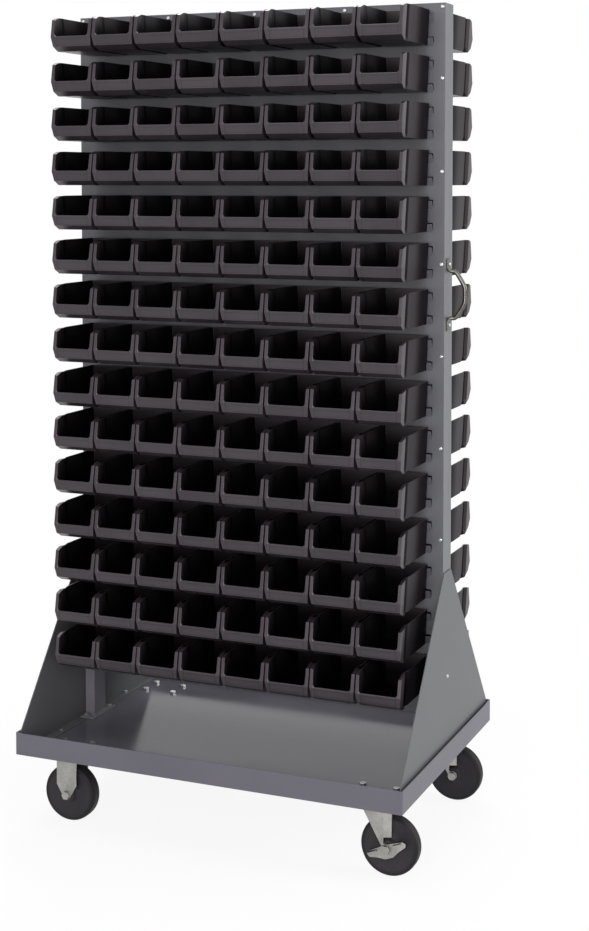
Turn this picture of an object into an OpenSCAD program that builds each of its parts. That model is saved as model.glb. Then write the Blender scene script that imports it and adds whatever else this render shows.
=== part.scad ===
// Mobile louvered bin rack: a double-sided louvered panel on a wheeled base tray,
// hung with rows of hopper-fronted plastic bins on both faces.
// Millimetres, +Z up, the front faces -Y, origin on the floor under the middle of the rack.

/* [Rack] */
// Width over the base tray
rack_w = 914.4; // [900:0.1:960]
// Depth over the base tray
rack_d = 640; // [615:1:720]
// Height from the floor to the top of the panels
rack_h = 1828.8; // [1500:0.1:2000]

/* [Base tray] */
// Sheet thickness of the tray
tray_t = 2.5; // [1.5:0.1:4]
// Height of the upstanding rim, over its outside
rim_h = 49; // [30:1:70]
// Outside radius of the rim's corners
rim_corner_r = 5; // [4.5:0.5:10]

/* [Louvered panels] */
// Thickness of both panels together, face to face
panel_d = 55; // [50:1:70]
// Sheet thickness of a panel
sheet_t = 1.5; // [1:0.1:2]
// Height of the panels' lower edge above the tray's rim
panel_lift = 64.4; // [20:0.1:120]
// Where the front panel's edge flanges end, measured back from the middle
seam_y = 8; // [4:1:12]
// Gap between the two panels' flanges
seam_gap = 0.5; // [0.2:0.1:1]
// Height of a louver's tongue
louver_h = 18; // [14:0.5:20]
// How far a tongue stands out at its top
louver_out = 9; // [7:0.5:10]
// Louvers side by side in one row
louver_cols = 4; // [2:1:4]
// Plain strip between two louvers
louver_gap = 10; // [6:1:14]
// Plain margin beside the louvers, which covers the post
louver_margin = 26.5; // [26:0.5:32]

/* [Posts and rails] */
// Width of a post, seen from the front
post_w = 24; // [18:1:24]
// Wall of the posts and rails
post_wall = 2; // [1.5:0.1:3]
// Height of the top and bottom rails
rail_h = 34; // [24:1:40]
// Thickness of a post's foot plate
foot_t = 4; // [3:0.5:6]
// Width of a foot plate, inward from the post's outer face
foot_w = 38; // [36:1:48]
// Depth of a foot plate
foot_d = 104; // [98:1:120]
// Spacing of the foot bolts across the post
foot_bolt_x = 20; // [16:1:24]
// Spacing of the foot bolts front to back
foot_bolt_y = 77; // [74:1:84]

/* [End panels] */
// Sheet thickness of an end panel
end_t = 2; // [1.5:0.1:3]
// Groove between an end panel and the rim
end_groove = 4.5; // [3:0.1:5]
// Height of the apex above the floor
end_apex_z = 594; // [500:1:680]
// Width of the flat apex
end_apex_w = 48; // [40:1:52]
// Gap between the foot of an end panel and the inside of the rim
end_foot_gap = 8; // [6:1:20]
// Width of the flange that is bolted to the deck
end_foot_flange_w = 24; // [20:1:28]
// Room left in the deck flange for the post's foot
end_foot_notch = 58; // [56:1:80]
// Place of the deck flange bolts, from the middle
end_bolt_y = 155; // [130:1:200]
// Height of the screw that holds an end panel to its post
end_screw_z = 361; // [320:1:420]

/* [Bins] */
// Bins side by side in a row
bin_cols = 8; // [2:1:8]
// Length of a bin, from its back wall to its lip
bin_l = 179; // [165:1:185]
// Width of a bin at its top
bin_w = 103.8; // [98:0.1:104.4]
// Height of a bin at its back
bin_h = 76.2; // [72:0.1:80]
// Gap between two bins in a row
bin_gap = 0.6; // [0.4:0.1:1]
// Distance from one row to the next
row_pitch = 100; // [99:0.1:101]
// Distance from the top of the panels to the top row of bins
top_margin = 14.8; // [12:0.1:20]
// How far the rear bins hang to the side of the front ones
rear_shift = 20; // [0:1:21]
// Wall thickness of a bin
bin_wall = 2.2; // [1.6:0.1:2.6]
// How much narrower each side is at the bottom
bin_draft = 4.5; // [2:0.5:6]
// Height of the front lip
lip_h = 32; // [26:1:38]
// Thickness of the lip and of the front edges
lip_t = 4; // [3:0.5:5]
// Height of the chamfer under the lip
chin_h = 10; // [6:1:14]
// How far the chin stands back from the lip
chin_back = 6; // [4:1:10]
// How far the bottom stands back from the lip
sole_back = 24; // [18:1:34]
// Height of the front edges
brow_h = 70; // [62:1:71]
// How far the top of the front edges stands back from the lip
brow_back = 8; // [5:1:12]
// How far back the top edge starts to slope down
brow_slope = 75; // [50:1:100]
// Width of a front edge, seen from the front
cheek_w = 10.5; // [7:0.5:13]
// Depth of the collar along the front edge
collar_l = 12; // [9:1:18]
// How far the collar stands out from the side
collar_proud = 2.2; // [1:0.1:3]
// Width of a bin's hook
hook_w = 66; // [40:1:66]
// Thickness of a hook
hook_t = 2; // [1.5:0.1:2]
// How far a hook reaches down behind the tongue
hook_len = 9; // [6:0.5:9]
// Distance from the top of a bin to the top of its louver
hook_drop = 9.2; // [7:0.1:12]

/* [Push handle] */
// Diameter of the handle's rod
handle_rod_d = 10; // [8:0.5:12]
// Height of the middle of the handle
handle_z = 1201; // [1100:1:1300]
// Height of the handle between its feet
handle_span = 104; // [90:1:140]
// Length of the straight grip
handle_grip = 34; // [20:1:50]
// Reach of the rod's middle from the end face
handle_reach = 38; // [34:1:60]
// Straight stretch at each foot
handle_stem = 17; // [10:1:24]
// Width of a foot
handle_foot_w = 26; // [20:1:32]
// Height of a foot, beyond the rod
handle_foot_h = 28; // [22:1:36]
// Thickness of a foot
handle_foot_t = 3; // [2:0.5:4]

/* [Casters] */
// Diameter of a wheel
wheel_d = 127; // [100:1:130]
// Width of a wheel's tread
tread_w = 32; // [24:1:36]
// Width of a wheel's hub
hub_w = 48; // [44:1:52]
// Diameter of a hub
hub_d = 34; // [28:1:40]
// Width of a wheel's web
web_w = 24; // [12:1:26]
// Width of the tread's band, from the web to the floor
tread_band = 14; // [10:1:20]
// Chamfer of the tread's edges
tread_edge = 4; // [2:0.5:8]
// Height of a caster over all
caster_h = 166; // [162:0.1:175]
// Distance from an end of the tray to the middle of a caster plate
caster_inset_x = 92.2; // [85:0.1:110]
// Distance from a face of the tray to the middle of a caster plate
caster_inset_y = 93; // [80:0.1:120]
// Length of a caster plate
plate_l = 100; // [96:1:115]
// Width of a caster plate
plate_w = 82; // [80:1:100]
// Thickness of a caster plate
plate_t = 4; // [3:0.5:5]
// Bolt spacing along the plate
plate_bolt_x = 75; // [73:1:85]
// Bolt spacing across the plate
plate_bolt_y = 57; // [55:1:70]
// Distance from the king pin to the wheel's axle
caster_trail = 36; // [20:1:40]
// Thickness of a fork's legs
leg_t = 3; // [2.5:0.5:4]
// Width of a leg at its top
leg_w = 50; // [40:1:54]
// Radius of a leg's lower end
leg_tip_r = 10; // [8.5:0.5:12]
// Height above the axle where a fixed leg starts to narrow
leg_taper_h = 23; // [15:1:40]
// Width of the folded edge of a swivel leg
leg_fold_w = 16; // [10:1:18]
// Diameter of an axle
axle_d = 10; // [8:0.5:12]
// Diameter of a king pin
king_pin_d = 12; // [10:0.5:14]
// Diameter of the swivel race under the plate
race_d = 48; // [40:1:54]
// Height of the swivel race
race_h = 10; // [8:0.5:14]

/* [Brake levers] */
// Length of a brake lever from tip to tip
lever_l = 90; // [76:1:96]
// Width of a lever at its tips
lever_tip_w = 12; // [10:1:16]
// How far a lever hangs below its axle
lever_belly = 19; // [15:1:22]
// Thickness of a lever
lever_t = 3; // [2:0.5:4]
// How far the pedals on its arms stand out
pedal_out = 11; // [6:1:16]
// Length of a pedal
pedal_l = 20; // [14:1:22]
// Slope of a lever with the brake on
lever_tilt = 22; // [10:1:30]

/* [Fasteners] */
// Thread diameter of the sheet screws
screw_d = 4.2; // [3:0.1:5]
// Head diameter of the sheet screws
screw_head_d = 9; // [7:0.5:11]
// Head height of the sheet screws
screw_head_h = 2.4; // [1.5:0.1:3]
// Length of the sheet screws under the head
screw_l = 9; // [8:0.5:12]
// Distance from a panel's top and bottom edge to the edge screws
screw_inset_z = 8.5; // [6:0.5:10]
// Distance from a panel's side edge to the side screws
screw_inset_x = 7; // [5:0.5:9]
// Distance between the edge screws along the top
screw_pitch_x = 217; // [200:1:225]
// Height of the highest side screw under the top of the panels
screw_first_z = 161; // [120:1:190]
// Thread diameter of the frame bolts
frame_bolt_d = 6; // [5:0.5:8]
// Thread diameter of the caster bolts
caster_bolt_d = 8; // [6:0.5:9]

/* [Hidden] */
// Clearances and small allowances
run_clear = 0.05;
side_clear = 0.5;
tread_clear = 1.5;
seat_gap = 0.3;
eps = 0.01;
overcut = 1;

// Colours of the finishes
grey_paint = [0.42, 0.42, 0.44];
pale_paint = [0.5, 0.5, 0.52];
bin_black = [0.13, 0.12, 0.13];
zinc = [0.72, 0.73, 0.74];
charcoal = [0.2, 0.2, 0.21];

// Base tray and what stands on it
tray_z = caster_h;
deck_z = tray_z + tray_t;
rim_z = tray_z + rim_h;
rim_in_x = rack_w / 2 - tray_t;
rim_in_y = rack_d / 2 - tray_t;

// Louvered panels
end_out_x = rim_in_x - end_groove;
panel_x = end_out_x - end_t;
panel_w = 2 * panel_x;
panel_y = panel_d / 2;
panel_z = rim_z + panel_lift;
panel_h = rack_h - panel_z;
panel_in_y = panel_y - sheet_t;
louver_span = panel_w - 2 * louver_margin;
louver_w = (louver_span - (louver_cols - 1) * louver_gap) / louver_cols;
louver_slot_h = norm([louver_h, louver_out]);
louver_slope = louver_out / louver_h;

// Rows of bins that the panels have room for, and their louvers
bin_rows = floor((panel_h - top_margin) / row_pitch);
louvers_per_row = 2;
louver_rows = bin_rows * louvers_per_row;
louver_pitch = row_pitch / louvers_per_row;

// Posts and rails
post_out_x = panel_x - sheet_t;
post_in_x = post_out_x - post_w;
post_top_z = rack_h - sheet_t;
foot_bolt_in = (foot_w - foot_bolt_x) / 2;

// Bins
bin_pitch = bin_w + bin_gap;
bin_top_z = rack_h - top_margin;
bin_standoff = louver_out + seat_gap;
louver_top_v = bin_h - hook_drop;
side_w = bin_w - 2 * collar_proud;

// End panels
end_foot_y = rim_in_y - end_foot_gap;
end_apex_y = end_apex_w / 2;

// Casters
caster_x = rack_w / 2 - caster_inset_x;
caster_y = rack_d / 2 - caster_inset_y;
axle_z = wheel_d / 2;
plate_z = caster_h - plate_t;
leg_in_y = hub_w / 2 + side_clear;
leg_out_y = leg_in_y + leg_t;
crown_z = plate_z - race_h - seat_gap;
crown_back = 2 - leg_w / 2;
fold_x = caster_trail - leg_fold_w / 2;
crown_front = fold_x + leg_fold_w;
fold_in_y = tread_w / 2 + tread_clear;
lever_in_y = leg_out_y + side_clear;
lever_out_y = lever_in_y + lever_t;

// Sheet screws down the sides, one every second row of bins
screw_pitch_z = 2 * row_pitch;
side_screws = floor((panel_h - screw_first_z - 2 * screw_inset_z) / screw_pitch_z) + 1;

// Names of the rows of bins, counted from the top
function row_name(side, row) = str("bins_", side, row < 10 ? "_0" : "_", row);

// Extrude an outline drawn in depth and height along the width
module along_x(length) {
    rotate([90, 0, 90])
        linear_extrude(length)
            children();
}

// The same, centred on the middle of the rack
module across_x(length) {
    translate([-length / 2, 0, 0])
        along_x(length)
            children();
}

// Extrude an outline drawn in width and height towards the front
module towards_front(length) {
    rotate([90, 0, 0])
        linear_extrude(length)
            children();
}

// A box given by its lowest and highest corners
module box(low, high) {
    translate(low)
        cube(high - low);
}

// The same thing on the left and on the right, or at the front and at the rear
module both_ends() {
    children();
    mirror([1, 0, 0])
        children();
}
module both_faces() {
    children();
    mirror([0, 1, 0])
        children();
}
module turned_round() {
    rotate([0, 0, 180])
        children();
}

// A rectangle with round corners
module round_rect(width, depth, radius) {
    square([width - 2 * radius, depth], center = true);
    square([width, depth - 2 * radius], center = true);
    for (x = [-1, 1], y = [-1, 1])
        translate([x * (width / 2 - radius), y * (depth / 2 - radius)])
            circle(radius, $fn = 32);
}

// A sheet screw with its head on the plane z = 0, pointing down
module sheet_screw() {
    cylinder(h = screw_head_h, d1 = screw_head_d, d2 = screw_head_d * 0.7, $fn = 24);
    translate([0, 0, -screw_l])
        cylinder(h = screw_l + eps, d = screw_d, $fn = 24);
}
module screw_hole(depth) {
    sides = 8;
    translate([0, 0, -depth - overcut])
        cylinder(h = depth + 2 * overcut, d = (screw_d + 2 * run_clear) / cos(180 / sides), $fn = sides);
}

// A hexagon bolt with its head on the plane z = 0, and its nut under the grip
function bolt_flats(d) = 1.65 * d;
function bolt_head_h(d) = 0.65 * d;
function bolt_nut_h(d) = 0.8 * d;
module hexagon(d, height) {
    cylinder(h = height, d = bolt_flats(d) / cos(30), $fn = 6);
}
module bolt(d, grip) {
    hexagon(d, bolt_head_h(d));
    translate([0, 0, -grip - bolt_nut_h(d) - 2])
        cylinder(h = grip + bolt_nut_h(d) + 2 + eps, d = d, $fn = 24);
    translate([0, 0, -grip - bolt_nut_h(d)])
        difference() {
            hexagon(d, bolt_nut_h(d));
            translate([0, 0, -overcut])
                cylinder(h = bolt_nut_h(d) + 2 * overcut, d = d + 2 * run_clear, $fn = 24);
        }
}
module bolt_hole(d, grip) {
    translate([0, 0, -grip - overcut])
        cylinder(h = grip + 2 * overcut, d = d + 2 * run_clear, $fn = 24);
}

// Where the bolts and screws go
module at_plate_bolts() {
    for (x = [-1, 1], y = [-1, 1])
        translate([x * plate_bolt_x / 2, y * plate_bolt_y / 2, 0])
            children();
}
module at_casters() {
    both_ends()
        both_faces()
            translate([caster_x, caster_y, 0])
                children();
}
module at_foot_bolts() {
    for (x = [0, 1], y = [-1, 1])
        translate([post_out_x - foot_bolt_in - x * foot_bolt_x, y * foot_bolt_y / 2, 0])
            children();
}
module at_end_bolts() {
    for (y = [-1, 1])
        translate([end_out_x - end_foot_flange_w / 2, y * end_bolt_y, 0])
            children();
}
module at_handle_screws() {
    for (z = [-1, 1])
        translate([panel_x, 0, handle_z + z * (handle_span + handle_foot_h) / 2])
            rotate([0, 90, 0])
                children();
}
module at_end_screw() {
    translate([panel_x, 0, end_screw_z])
        rotate([0, 90, 0])
            children();
}
module at_panel_screws() {
    for (z = [rack_h - screw_inset_z, panel_z + screw_inset_z])
        for (x = [-1 : 1])
            translate([x * screw_pitch_x, -panel_y, z])
                rotate([90, 0, 0])
                    children();
    both_ends() {
        for (z = [rack_h - screw_inset_z, panel_z + screw_inset_z])
            translate([panel_x - screw_inset_x, -panel_y, z])
                rotate([90, 0, 0])
                    children();
        for (k = [0 : side_screws - 1])
            translate([panel_x - screw_inset_x, -panel_y, rack_h - screw_first_z - k * screw_pitch_z])
                rotate([90, 0, 0])
                    children();
    }
}

// Base tray: one folded sheet, a flat deck with an upstanding rim
module base_tray() {
    color(grey_paint)
        difference() {
            translate([0, 0, tray_z])
                linear_extrude(rim_h)
                    round_rect(rack_w, rack_d, rim_corner_r);
            translate([0, 0, deck_z])
                linear_extrude(rim_h)
                    round_rect(2 * rim_in_x, 2 * rim_in_y, rim_corner_r - tray_t);
            translate([0, 0, deck_z]) {
                at_casters()
                    at_plate_bolts()
                        bolt_hole(caster_bolt_d, tray_t);
                both_ends() {
                    at_foot_bolts()
                        bolt_hole(frame_bolt_d, tray_t);
                    at_end_bolts()
                        bolt_hole(frame_bolt_d, tray_t);
                }
            }
        }
}

// Post: a rectangular tube welded to a foot plate, one at each end between the panels
module post() {
    difference() {
        union() {
            box([post_in_x, -panel_in_y, deck_z + foot_t - eps], [post_out_x, panel_in_y, post_top_z]);
            box([post_out_x - foot_w, -foot_d / 2, deck_z], [post_out_x, foot_d / 2, deck_z + foot_t]);
        }
        box([post_in_x + post_wall, post_wall - panel_in_y, deck_z + foot_t],
            [post_out_x - post_wall, panel_in_y - post_wall, post_top_z + overcut]);
        translate([0, 0, deck_z + foot_t])
            at_foot_bolts()
                bolt_hole(frame_bolt_d, foot_t);
        both_faces()
            at_panel_screws()
                screw_hole(sheet_t + post_wall);
        at_end_screw()
            screw_hole(sheet_t + post_wall);
        at_handle_screws()
            screw_hole(sheet_t + post_wall);
    }
}
module post_right() {
    color(grey_paint)
        post();
}
module post_left() {
    color(grey_paint)
        mirror([1, 0, 0])
            post();
}

// Rail: a channel between the posts, with its open side towards the middle of the rack
module rail(low_z, web_z) {
    difference() {
        box([-post_in_x, -panel_in_y, low_z], [post_in_x, panel_in_y, low_z + rail_h]);
        box([-post_in_x - overcut, post_wall - panel_in_y, web_z],
            [post_in_x + overcut, panel_in_y - post_wall, web_z + rail_h]);
        both_faces()
            at_panel_screws()
                screw_hole(sheet_t + post_wall);
    }
}
module top_rail() {
    color(grey_paint)
        rail(post_top_z - rail_h, post_top_z - post_wall - rail_h);
}
module bottom_rail() {
    color(grey_paint)
        rail(panel_z + sheet_t, panel_z + sheet_t + post_wall);
}

// Louvers: tongues lanced out of the sheet, joined to it along their lower edge
function louver_z(n) = bin_top_z - hook_drop - louver_h - n * louver_pitch;
function louver_x(c) = c * (louver_w + louver_gap) - louver_span / 2;
module tongue_outline() {
    polygon([
        [sheet_t - panel_y, 0],
        [-panel_y, 0],
        [-panel_y - louver_out, louver_h],
        [sheet_t - panel_y - louver_out, louver_h]
    ]);
}
module louver_column() {
    along_x(louver_w)
        for (n = [0 : louver_rows - 1])
            translate([0, louver_z(n)])
                tongue_outline();
}
module sheet_outline() {
    difference() {
        translate([-panel_x, panel_z])
            square([panel_w, panel_h]);
        for (c = [0 : louver_cols - 1], n = [0 : louver_rows - 1])
            translate([louver_x(c), louver_z(n)])
                square([louver_w, louver_slot_h]);
    }
}

// Panel: a louvered sheet with its edges folded back as far as the seam
module louvered_panel(flange_end) {
    difference() {
        union() {
            translate([0, sheet_t - panel_y, 0])
                towards_front(sheet_t)
                    sheet_outline();
            for (c = [0 : louver_cols - 1])
                translate([louver_x(c), 0, 0])
                    louver_column();
            both_ends()
                box([panel_x - sheet_t, eps - panel_y, panel_z], [panel_x, flange_end, rack_h]);
            box([-panel_x, eps - panel_y, rack_h - sheet_t], [panel_x, flange_end, rack_h]);
            box([-post_in_x, eps - panel_y, panel_z], [post_in_x, flange_end, panel_z + sheet_t]);
        }
        at_panel_screws()
            screw_hole(sheet_t);
        at_handle_screws()
            screw_hole(sheet_t);
        both_ends()
            at_end_screw()
                screw_hole(sheet_t);
    }
}
module panel_front() {
    color(pale_paint)
        louvered_panel(seam_y);
}
module panel_rear() {
    color(pale_paint)
        turned_round()
            louvered_panel(-seam_y - seam_gap);
}

// End panel: a gable-shaped sheet with a folded foot, bolted to the deck and the post
module end_panel() {
    difference() {
        union() {
            translate([panel_x, 0, 0])
                along_x(end_t)
                    polygon([
                        [-end_foot_y, deck_z],
                        [end_foot_y, deck_z],
                        [end_foot_y, rim_z],
                        [end_apex_y, end_apex_z],
                        [-end_apex_y, end_apex_z],
                        [-end_foot_y, rim_z]
                    ]);
            both_faces()
                box([end_out_x - end_foot_flange_w, end_foot_notch, deck_z],
                    [end_out_x, end_foot_y - end_foot_gap, deck_z + end_t]);
        }
        translate([end_t, 0, 0])
            at_end_screw()
                screw_hole(end_t);
        translate([0, 0, deck_z + end_t])
            at_end_bolts()
                bolt_hole(frame_bolt_d, end_t);
    }
}
module end_panel_right() {
    color(pale_paint)
        end_panel();
}
module end_panel_left() {
    color(pale_paint)
        mirror([1, 0, 0])
            end_panel();
}

// Push handle: a rod bent at four mitres, with flattened feet on the right end of the panels
module rod(from, heading, length) {
    translate(from)
        rotate([0, 90 - heading, 0])
            cylinder(h = length, d = handle_rod_d, $fn = 32);
}
module before_mitre(at, heading) {
    translate(at)
        rotate([0, -heading, 0])
            box([-handle_span, -handle_rod_d, -handle_span], [0, handle_rod_d, handle_span]);
}
module past_mitre(at, heading) {
    translate(at)
        rotate([0, -heading, 0])
            box([0, -handle_rod_d, -handle_span], [handle_span, handle_rod_d, handle_span]);
}
module half_handle() {
    foot = [panel_x + handle_foot_t / 2, 0, handle_z + handle_span / 2];
    elbow = [panel_x + handle_stem, 0, handle_z + handle_span / 2];
    shoulder = [panel_x + handle_reach, 0, handle_z + handle_grip / 2];
    run = shoulder - elbow;
    slope = atan2(-run[2], run[0]);
    spare = handle_rod_d;
    intersection() {
        rod(foot, 0, handle_stem + spare);
        before_mitre(elbow, -slope / 2);
    }
    intersection() {
        rod(elbow - spare * run / norm(run), -slope, norm(run) + 2 * spare);
        past_mitre(elbow, -slope / 2);
        before_mitre(shoulder, -(slope + 90) / 2);
    }
    intersection() {
        rod(shoulder + [0, 0, spare], -90, handle_grip / 2 + spare);
        past_mitre(shoulder, -(slope + 90) / 2);
    }
}
module handle_foot() {
    low_z = handle_z + (handle_span - handle_rod_d) / 2;
    high_z = handle_z + handle_span / 2 + handle_foot_h;
    box([panel_x, -handle_foot_w / 2, low_z], [panel_x + handle_foot_t, handle_foot_w / 2, high_z]);
}
module push_handle() {
    color(zinc)
        difference() {
            for (upside = [0, 1])
                translate([0, 0, upside * 2 * handle_z])
                    mirror([0, 0, upside]) {
                        half_handle();
                        handle_foot();
                    }
            translate([handle_foot_t, 0, 0])
                at_handle_screws()
                    screw_hole(handle_foot_t);
        }
}

// Fasteners
module panel_screws() {
    color(zinc) {
        at_panel_screws()
            sheet_screw();
        turned_round()
            at_panel_screws()
                sheet_screw();
    }
}
module end_screws() {
    color(zinc) {
        both_ends()
            translate([end_t, 0, 0])
                at_end_screw()
                    sheet_screw();
        translate([handle_foot_t, 0, 0])
            at_handle_screws()
                sheet_screw();
    }
}
module frame_bolts() {
    color(zinc)
        both_ends() {
            translate([0, 0, deck_z + foot_t])
                at_foot_bolts()
                    bolt(frame_bolt_d, foot_t + tray_t);
            translate([0, 0, deck_z + end_t])
                at_end_bolts()
                    bolt(frame_bolt_d, end_t + tray_t);
        }
}
module caster_bolts() {
    color(zinc)
        translate([0, 0, deck_z])
            at_casters()
                at_plate_bolts()
                    bolt(caster_bolt_d, tray_t + plate_t);
}

// Caster plate, drawn under the tray about the z axis
module caster_plate() {
    difference() {
        translate([0, 0, plate_z])
            linear_extrude(plate_t)
                round_rect(plate_l, plate_w, plate_bolt_y / 10);
        translate([0, 0, caster_h])
            at_plate_bolts()
                bolt_hole(caster_bolt_d, plate_t);
    }
}

// Legs of a fork: an outline in width and height, with a round lower end about the axle
module leg(axle_x) {
    difference() {
        union() {
            children();
            translate([axle_x, axle_z])
                circle(leg_tip_r, $fn = 48);
        }
        translate([axle_x, axle_z])
            circle(d = axle_d + 2 * run_clear, $fn = 48);
    }
}
module leg_pair(axle_x) {
    for (y = [leg_out_y, -leg_in_y])
        translate([0, y, 0])
            towards_front(leg_t)
                leg(axle_x)
                    children();
}
module straight_leg() {
    tip_x = leg_tip_r * 0.85;
    polygon([
        [-leg_w / 2, plate_z + eps],
        [leg_w / 2, plate_z + eps],
        [leg_w / 2, axle_z + leg_taper_h],
        [tip_x, axle_z - leg_tip_r / 2],
        [-tip_x, axle_z - leg_tip_r / 2],
        [-leg_w / 2, axle_z + leg_taper_h]
    ]);
}
module trailing_leg() {
    polygon([
        [crown_back, crown_z],
        [fold_x, crown_z],
        [fold_x, axle_z + leg_tip_r],
        [caster_trail + leg_tip_r, axle_z],
        [caster_trail - leg_tip_r, axle_z]
    ]);
}
module folded_edge() {
    lap = fold_x - leg_t / 2;
    low_z = axle_z + hub_d / 2 + tread_edge + tread_clear;
    translate([0, 0, low_z])
        linear_extrude(crown_z - low_z)
            polygon([
                [lap, -leg_out_y],
                [fold_x, -leg_out_y],
                [crown_front, -fold_in_y - leg_t],
                [crown_front, -fold_in_y],
                [fold_x, -leg_in_y],
                [lap, -leg_in_y]
            ]);
}

// Rigid casters on the left
module rigid_forks() {
    color(zinc)
        both_faces()
            translate([-caster_x, caster_y, 0]) {
                caster_plate();
                leg_pair(0)
                    straight_leg();
            }
}

// Swivel casters on the right: plate with its race, king pin, and fork
module swivel_plates() {
    color(zinc)
        both_faces()
            translate([caster_x, caster_y, 0])
                difference() {
                    union() {
                        caster_plate();
                        translate([0, 0, plate_z - race_h])
                            cylinder(h = race_h + eps, d = race_d, $fn = 64);
                    }
                    translate([0, 0, crown_z])
                        cylinder(h = caster_h - crown_z + overcut, d = king_pin_d + 2 * run_clear, $fn = 64);
                }
}
module king_pins() {
    head_z = crown_z - plate_t - seat_gap;
    color(zinc)
        both_faces()
            translate([caster_x, caster_y, 0]) {
                translate([0, 0, head_z])
                    cylinder(h = caster_h - head_z, d = king_pin_d, $fn = 64);
                translate([0, 0, head_z - plate_t])
                    cylinder(h = plate_t + eps, d = 2 * king_pin_d, $fn = 64);
            }
}
module swivel_fork() {
    color(zinc)
        translate([caster_x, 0, 0]) {
            difference() {
                box([crown_back, -leg_out_y, crown_z - plate_t], [crown_front, leg_out_y, crown_z]);
                translate([0, 0, crown_z - plate_t - overcut])
                    cylinder(h = plate_t + 2 * overcut, d = king_pin_d + 2 * run_clear, $fn = 64);
            }
            leg_pair(caster_trail)
                trailing_leg();
            both_faces()
                folded_edge();
        }
}
module at_front_caster() {
    translate([0, -caster_y, 0])
        children();
}
module at_rear_caster() {
    mirror([0, 1, 0])
        at_front_caster()
            children();
}
module swivel_fork_front() {
    at_front_caster()
        swivel_fork();
}
module swivel_fork_rear() {
    at_rear_caster()
        swivel_fork();
}

// Axle: a bolt across the fork, with its head outside and its nut inside
module axle(head_y) {
    nut_h = bolt_nut_h(axle_d);
    head_h = bolt_head_h(axle_d);
    color(zinc)
        rotate([90, 0, 0]) {
            translate([0, 0, -leg_out_y - nut_h])
                cylinder(h = head_y + leg_out_y + nut_h + eps, d = axle_d, $fn = 48);
            translate([0, 0, head_y])
                hexagon(axle_d, head_h);
            translate([0, 0, -leg_out_y - nut_h - eps])
                hexagon(axle_d, nut_h);
        }
}
module rigid_axles() {
    both_faces()
        at_front_caster()
            translate([-caster_x, 0, axle_z])
                axle(leg_out_y + eps);
}
module swivel_axle() {
    translate([caster_x + caster_trail, 0, axle_z])
        axle(lever_out_y + side_clear);
}
module swivel_axle_front() {
    at_front_caster()
        swivel_axle();
}
module swivel_axle_rear() {
    at_rear_caster()
        swivel_axle();
}

// Brake lever: a rocker on the axle, outside the fork, with a belly below it and a pedal on each arm
module lever_outline() {
    tip = lever_l / 2;
    brow = lever_tip_w / 2;
    half = [
        [0.2 * tip, -lever_belly],
        [0.55 * tip, -0.6 * lever_belly],
        [tip - brow / 2, -brow],
        [tip, 0],
        [tip - brow, brow],
        [axle_d, 1.5 * brow]
    ];
    last = len(half) - 1;
    difference() {
        polygon(concat(half, [for (k = [0 : last]) [-half[last - k][0], half[last - k][1]]]));
        circle(d = axle_d + 2 * run_clear, $fn = 48);
    }
}
module brake_lever() {
    pedal_x = lever_l / 2 - lever_tip_w / 2;
    color(zinc)
        translate([caster_x + caster_trail, 0, axle_z])
            rotate([0, -lever_tilt, 0]) {
                translate([0, -lever_in_y, 0])
                    towards_front(lever_t)
                        lever_outline();
                both_ends()
                    box([pedal_x - pedal_l, -lever_out_y - pedal_out, lever_tip_w / 2 - lever_t],
                        [pedal_x, eps - lever_out_y, lever_tip_w / 2]);
            }
}
module brake_lever_front() {
    at_front_caster()
        brake_lever();
}
module brake_lever_rear() {
    at_rear_caster()
        brake_lever();
}

// Wheel: moulded tread and hub joined by a thinner web, turning on its axle
module wheel_section() {
    radius = wheel_d / 2;
    rim_r = radius - tread_band;
    half = [
        [axle_d / 2 + run_clear, hub_w / 2],
        [hub_d / 2, hub_w / 2],
        [hub_d / 2 + tread_edge, web_w / 2],
        [rim_r, web_w / 2],
        [rim_r, tread_w / 2],
        [radius - tread_edge, tread_w / 2],
        [radius, tread_w / 2 - tread_edge]
    ];
    last = len(half) - 1;
    polygon(concat(half, [for (k = [0 : last]) [half[last - k][0], -half[last - k][1]]]));
}
module wheel(x) {
    color(charcoal)
        translate([x, 0, axle_z])
            rotate([90, 0, 0])
                rotate_extrude($fn = 96)
                    wheel_section();
}
module wheel_rigid_front() {
    at_front_caster()
        wheel(-caster_x);
}
module wheel_rigid_rear() {
    at_rear_caster()
        wheel(-caster_x);
}
module wheel_swivel_front() {
    at_front_caster()
        wheel(caster_x + caster_trail);
}
module wheel_swivel_rear() {
    at_rear_caster()
        wheel(caster_x + caster_trail);
}

// Bin, drawn with its back wall on the plane y = 0, its bottom on z = 0 and its lip towards -Y
module bin_side_outline() {
    polygon([
        [0, 0],
        [sole_back - bin_l, 0],
        [chin_back - bin_l, chin_h],
        [-bin_l, lip_h],
        [brow_back - bin_l, brow_h],
        [brow_slope - bin_l, bin_h],
        [0, bin_h]
    ]);
}
module bin_hollow_outline() {
    polygon([
        [-bin_wall, bin_wall],
        [sole_back + lip_t - bin_l, bin_wall],
        [chin_back + lip_t - bin_l, chin_h],
        [lip_t - bin_l, lip_h],
        [brow_back + lip_t - bin_l, brow_h],
        [brow_back + lip_t - bin_l, bin_h + overcut],
        [-bin_wall, bin_h + overcut]
    ]);
}
module bin_front_outline(width) {
    top = width / 2;
    bottom = top - bin_draft;
    rise = (bin_h + overcut) / bin_h;
    polygon([
        [-bottom, 0],
        [bottom, 0],
        [bottom + bin_draft * rise, bin_h + overcut],
        [-bottom - bin_draft * rise, bin_h + overcut]
    ]);
}
module bin_block(width) {
    intersection() {
        across_x(bin_w + overcut)
            children();
        translate([0, overcut, 0])
            towards_front(bin_l + 2 * overcut)
                bin_front_outline(width);
    }
}
module collar_zone() {
    translate([-bin_l - overcut, -overcut])
        square([collar_l + overcut, bin_h + 2 * overcut]);
}
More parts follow.
